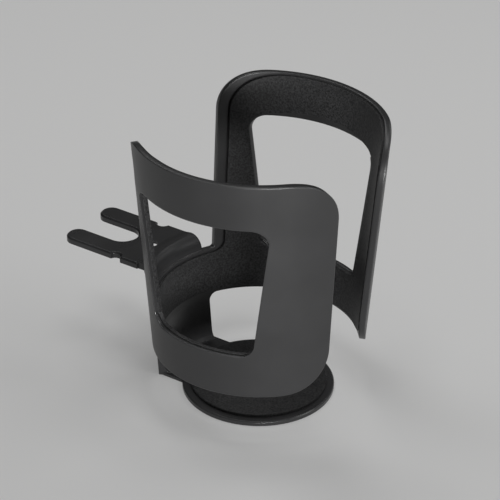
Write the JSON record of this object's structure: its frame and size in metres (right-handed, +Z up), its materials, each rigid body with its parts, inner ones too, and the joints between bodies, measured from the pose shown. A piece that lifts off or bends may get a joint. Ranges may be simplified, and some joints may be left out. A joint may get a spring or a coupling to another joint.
{
  "type": "car cup holder",
  "caption": "Black plastic car cup holder that hangs from an air vent by a two-pronged fork, with an open windowed cup ring, a grainy soft liner and a round padded foot.",
  "frame": {"origin": "Centre of the round foot's underside, on the cup's axis.", "axes": "+Z up along the cup's axis, +Y along the fork's prongs into the air vent, -Y out through the mouth between the two panels, +X across the holder."},
  "size_m": [0.0958, 0.1273, 0.1122],
  "materials": {
    "shell": "smooth satin black plastic",
    "liner": "fine-grained matte black soft plastic",
    "mat": "fine-grained matte black soft plastic"
  },
  "bodies": {
    "root": {"holder_body": "shell", "grip_liner": "liner", "foot_mat": "mat"}
  },
  "joints": []
}
